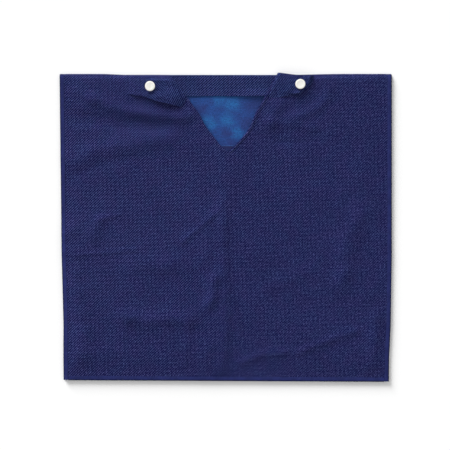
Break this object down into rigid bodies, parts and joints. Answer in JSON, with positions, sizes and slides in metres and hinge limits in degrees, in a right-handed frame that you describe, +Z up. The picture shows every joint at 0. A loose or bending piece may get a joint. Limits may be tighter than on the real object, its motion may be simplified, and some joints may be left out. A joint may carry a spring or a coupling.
{
  "type": "welding apron",
  "caption": "Pull-on protective apron of navy twill lying flat, with a V neck, a faced back neck, shoulder tabs on press studs and taped edges.",
  "frame": {"origin": "middle of the apron's outline, on the surface it lies on", "axes": "+Z up out of the front, +Y towards the neck, +X to the right as seen from the front"},
  "size_m": [0.481, 0.4485, 0.0108],
  "materials": {
    "navy_twill": "matt twill weave",
    "blue_facing": "matt brushed cloth",
    "edging_tape": "matt woven tape",
    "thread": "matt sewing thread",
    "white_plastic": "satin",
    "snap_plastic": "satin"
  },
  "bodies": {
    "back": {"back_panel": "navy_twill", "back_neck_band": "navy_twill", "back_left_edging": "edging_tape", "back_right_edging": "edging_tape", "back_hem_edging": "edging_tape", "back_left_edging_stitching": "thread", "back_right_edging_stitching": "thread", "back_hem_edging_stitching": "thread", "neck_band_stitching": "thread", "left_shoulder_seam": "thread", "right_shoulder_seam": "thread"},
    "front": {"front_panel": "navy_twill", "neck_point_patch": "blue_facing", "front_left_edging": "edging_tape", "front_right_edging": "edging_tape", "front_hem_edging": "edging_tape", "front_left_edging_stitching": "thread", "front_right_edging_stitching": "thread", "front_hem_edging_stitching": "thread", "v_neck_stitching": "thread", "left_tab_seam": "thread", "right_tab_seam": "thread", "left_snap_stud": "snap_plastic", "right_snap_stud": "snap_plastic", "left_snap_post": "snap_plastic", "right_snap_post": "snap_plastic"},
    "left_tab": {"left_shoulder_tab": "navy_twill", "left_snap_cap": "white_plastic", "left_snap_socket": "snap_plastic"},
    "right_tab": {"right_shoulder_tab": "navy_twill", "right_snap_cap": "white_plastic", "right_snap_socket": "snap_plastic"}
  },
  "joints": [
    {"name": "front_lift", "type": "hinge", "parent": "back", "child": "front", "pos_m": [0, 0.2209, 0.00165], "axis": [-1, 0, 0], "range_deg": [0, 150]},
    {"name": "left_tab_fold", "type": "hinge", "parent": "front", "child": "left_tab", "pos_m": [-0.1098, 0.2149, 0.0044], "axis": [-1, 0, 0], "range_deg": [0, 120]},
    {"name": "right_tab_fold", "type": "hinge", "parent": "front", "child": "right_tab", "pos_m": [0.10927, 0.21896, 0.0044], "axis": [-0.9882, 0.153, 0], "range_deg": [0, 120]}
  ]
}
